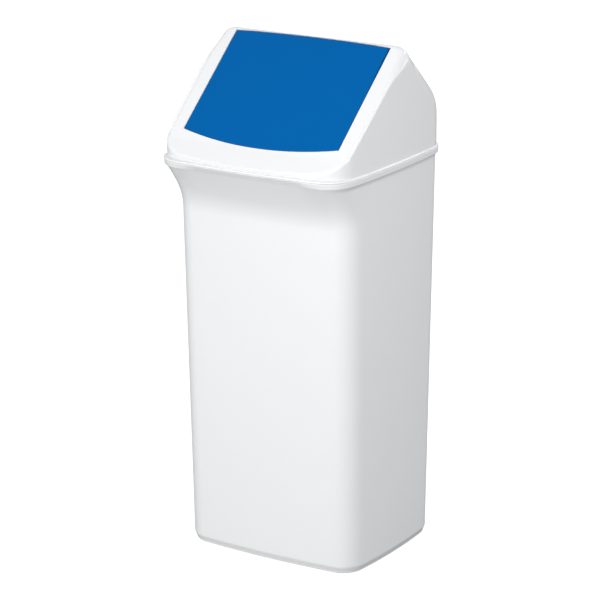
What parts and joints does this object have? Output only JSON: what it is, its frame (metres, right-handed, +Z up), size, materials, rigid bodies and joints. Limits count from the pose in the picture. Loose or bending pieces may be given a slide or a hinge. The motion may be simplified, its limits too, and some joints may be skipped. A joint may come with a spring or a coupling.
{
  "type": "swing-lid waste bin",
  "caption": "Tall tapered plastic waste bin with a flared front grip, a lift-off gabled hood and a sloping self-closing swing flap.",
  "frame": {"origin": "on the floor, under the middle of the tub's rim", "axes": "+Z up, -Y to the front with the flap's slope and grip, +X to the right"},
  "size_m": [0.316, 0.31, 0.7467],
  "materials": {
    "white_plastic": "satin moulded",
    "blue_plastic": "satin moulded",
    "grey_plastic": "moulded",
    "bush_plastic": "turned",
    "pad_rubber": "matt",
    "steel": "zinc plated"
  },
  "bodies": {
    "tub": {"bin_body": "white_plastic", "foot_pads": "pad_rubber"},
    "hood": {"hood_shell": "white_plastic", "bearing_bush_left": "bush_plastic", "bearing_bush_right": "bush_plastic", "bearing_block_left": "grey_plastic", "bearing_block_right": "grey_plastic", "block_screws": "steel", "stop_buffer_left": "pad_rubber", "stop_buffer_right": "pad_rubber"},
    "flap": {"flap_panel": "blue_plastic", "flap_inner_frame": "grey_plastic", "pivot_pin_left": "steel", "pivot_pin_right": "steel", "frame_screws": "steel", "counterweight_rod": "steel", "rod_clip_left": "steel", "rod_clip_right": "steel"}
  },
  "joints": [
    {"name": "hood_lift", "type": "slide", "parent": "tub", "child": "hood", "axis": [0, 0, 1], "range_m": [0, 0.25]},
    {"name": "flap_swing", "type": "hinge", "parent": "hood", "child": "flap", "pos_m": [0, -0.01207, 0.69156], "axis": [1, 0, 0], "range_deg": [0, 58]}
  ]
}
